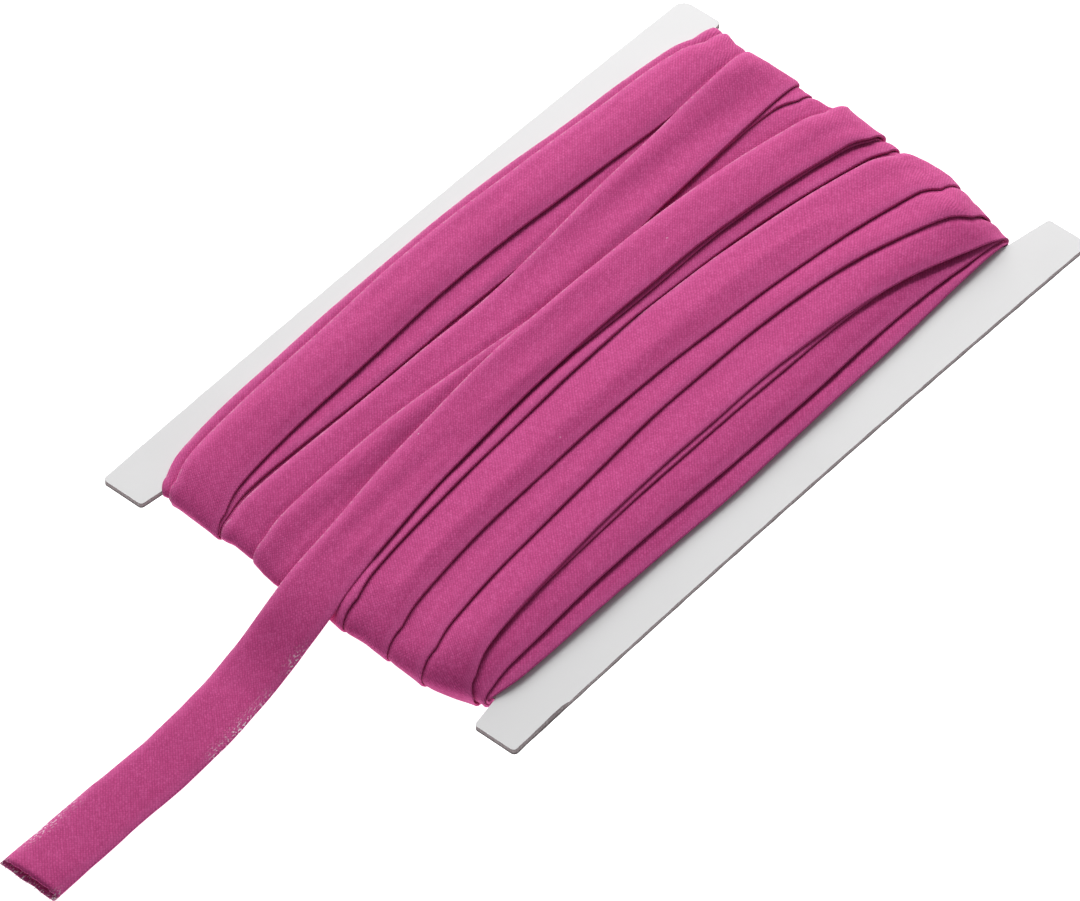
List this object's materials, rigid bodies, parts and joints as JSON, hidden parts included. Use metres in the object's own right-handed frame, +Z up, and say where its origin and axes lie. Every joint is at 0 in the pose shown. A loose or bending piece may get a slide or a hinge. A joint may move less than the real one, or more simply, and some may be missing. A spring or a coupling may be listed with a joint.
{
  "type": "roll of bias binding",
  "caption": "Folded bias tape wound lengthwise round a flat notched card, lap beside lap, with a loose end lying in front.",
  "frame": {"origin": "middle of the flat underside of the winding, on the surface the roll lies on", "axes": "+X along the card away from the loose end, +Y across the card, +Z up out of its upper face"},
  "size_m": [0.2405, 0.1, 0.0095],
  "materials": {
    "board": "matt white-faced grey board",
    "tape": "plain-weave cotton cut on the bias, matt"
  },
  "bodies": {
    "root": {"card": "board", "winding": "tape", "loose_end": "tape"}
  },
  "joints": []
}
